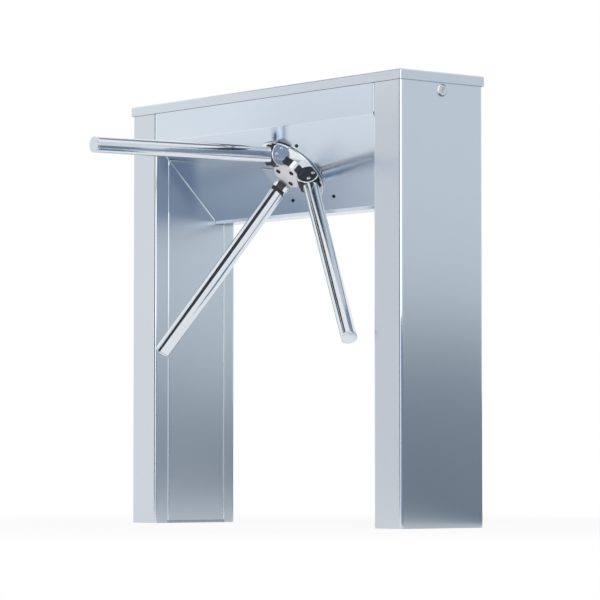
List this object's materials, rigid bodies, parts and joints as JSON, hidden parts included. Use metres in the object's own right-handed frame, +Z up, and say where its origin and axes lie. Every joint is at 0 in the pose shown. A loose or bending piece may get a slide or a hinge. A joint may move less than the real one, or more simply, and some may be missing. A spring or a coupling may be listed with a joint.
{
  "type": "tripod turnstile",
  "caption": "Portal tripod turnstile: brushed stainless cabinet on box legs, lift-off locked lid, and a chromed hub with inclined barrier arms turning on a sloping plate.",
  "frame": {"origin": "floor level, at the centre of the floor anchor holes under the two legs", "axes": "+X along the cabinet towards the leg with the lock, -Y towards the passage that the arms bar, +Z up"},
  "size_m": [1.044, 0.733, 1.045],
  "materials": {
    "brushed_sheet": "fine vertical brushed stainless sheet",
    "sloped_sheet": "fine brushed stainless sheet, smoother on the slope",
    "polished_chrome": "mirror polished",
    "machined_steel": "turned and ground steel",
    "zinc_plated": "zinc plated steel",
    "cast_aluminium": "cast and machined aluminium",
    "dark_screw": "blackened steel screws",
    "lock_nickel": "nickel plated lock",
    "black_plastic": "black moulded plastic",
    "grey_plastic": "grey-green moulded plastic",
    "circuit_board": "solder-resist coated board",
    "lock_brass": "turned brass",
    "black_rubber": "moulded rubber"
  },
  "bodies": {
    "cabinet": {"left_leg_shell": "brushed_sheet", "right_leg_shell": "brushed_sheet", "left_leg_cover": "brushed_sheet", "right_leg_cover": "brushed_sheet", "left_base_plate": "zinc_plated", "right_base_plate": "zinc_plated", "left_beam_bracket": "zinc_plated", "right_beam_bracket": "zinc_plated", "cable_grommet": "black_rubber", "front_panel": "sloped_sheet", "back_panel": "brushed_sheet", "beam_bolts": "zinc_plated", "lock_body": "lock_nickel", "lock_nut": "zinc_plated", "control_board": "circuit_board", "board_standoffs": "lock_brass", "terminal_blocks": "grey_plastic", "power_supply": "cast_aluminium", "plate_screws": "dark_screw", "mechanism_plate": "machined_steel", "bearing_housing": "cast_aluminium", "housing_screws": "dark_screw", "front_bearing": "machined_steel", "rear_bearing": "machined_steel", "drive_motor": "black_plastic", "encoder_sensor": "black_plastic", "carrier_plate": "machined_steel", "carrier_screws": "dark_screw", "pawl_pins": "machined_steel", "left_solenoid": "black_plastic", "right_solenoid": "black_plastic"},
    "lid": {"lid": "brushed_sheet", "lid_locators": "brushed_sheet", "lid_strike": "zinc_plated"},
    "lock_core": {"lock_plug": "lock_nickel", "lock_cam": "zinc_plated"},
    "rotor": {"main_shaft": "machined_steel", "shaft_spacers": "machined_steel", "shaft_nut": "zinc_plated", "ring_gear": "machined_steel", "lock_wheel": "machined_steel", "encoder_disc": "black_plastic", "hub_disc": "polished_chrome", "hub_bolts": "dark_screw", "nose_cap": "polished_chrome", "nose_screws": "dark_screw", "knuckle_pins": "polished_chrome", "arm_spigots": "machined_steel", "arm_plugs": "polished_chrome", "knuckle_1": "polished_chrome", "knuckle_2": "polished_chrome", "knuckle_3": "polished_chrome", "arm_1": "polished_chrome", "arm_2": "polished_chrome", "arm_3": "polished_chrome"},
    "pinion": {"drive_pinion": "machined_steel"},
    "left_pawl": {"left_pawl": "machined_steel"},
    "right_pawl": {"right_pawl": "machined_steel"},
    "left_plunger": {"left_plunger": "machined_steel"},
    "right_plunger": {"right_plunger": "machined_steel"}
  },
  "joints": [
    {"name": "rotor_turn", "type": "hinge", "parent": "cabinet", "child": "rotor", "pos_m": [0, -0.02888, 0.85288], "axis": [0, -0.7071, -0.7071], "continuous": true},
    {"name": "pinion_turn", "type": "hinge", "parent": "cabinet", "child": "pinion", "pos_m": [0, -0.08545, 0.90945], "axis": [0, -0.7071, -0.7071], "continuous": true},
    {"name": "lid_lift", "type": "slide", "parent": "cabinet", "child": "lid", "axis": [0, 0, 1], "range_m": [0, 0.15]},
    {"name": "lock_turn", "type": "hinge", "parent": "cabinet", "child": "lock_core", "pos_m": [0.5, 0, 1.003], "axis": [-1, 0, 0], "range_deg": [0, 90]},
    {"name": "left_pawl_swing", "type": "hinge", "parent": "cabinet", "child": "left_pawl", "pos_m": [-0.07, 0.01496, 0.80904], "axis": [0, 0.7071, 0.7071], "range_deg": [0, 7], "stiffness_Nm_per_rad": 2, "springref_deg": -11.46},
    {"name": "right_pawl_swing", "type": "hinge", "parent": "cabinet", "child": "right_pawl", "pos_m": [0.07, 0.01496, 0.80904], "axis": [0, -0.7071, -0.7071], "range_deg": [0, 7], "stiffness_Nm_per_rad": 2, "springref_deg": -11.46},
    {"name": "left_plunger_slide", "type": "slide", "parent": "cabinet", "child": "left_plunger", "axis": [1, 0, 0], "range_m": [0, 0.012]},
    {"name": "right_plunger_slide", "type": "slide", "parent": "cabinet", "child": "right_plunger", "axis": [-1, 0, 0], "range_m": [0, 0.012]}
  ],
  "couplings": [
    {"joint": "pinion_turn", "follows": "rotor_turn", "ratio": -3},
    {"joint": "left_plunger_slide", "follows": "left_pawl_swing", "m_per_rad": 0.097486},
    {"joint": "right_plunger_slide", "follows": "right_pawl_swing", "m_per_rad": 0.097486}
  ]
}
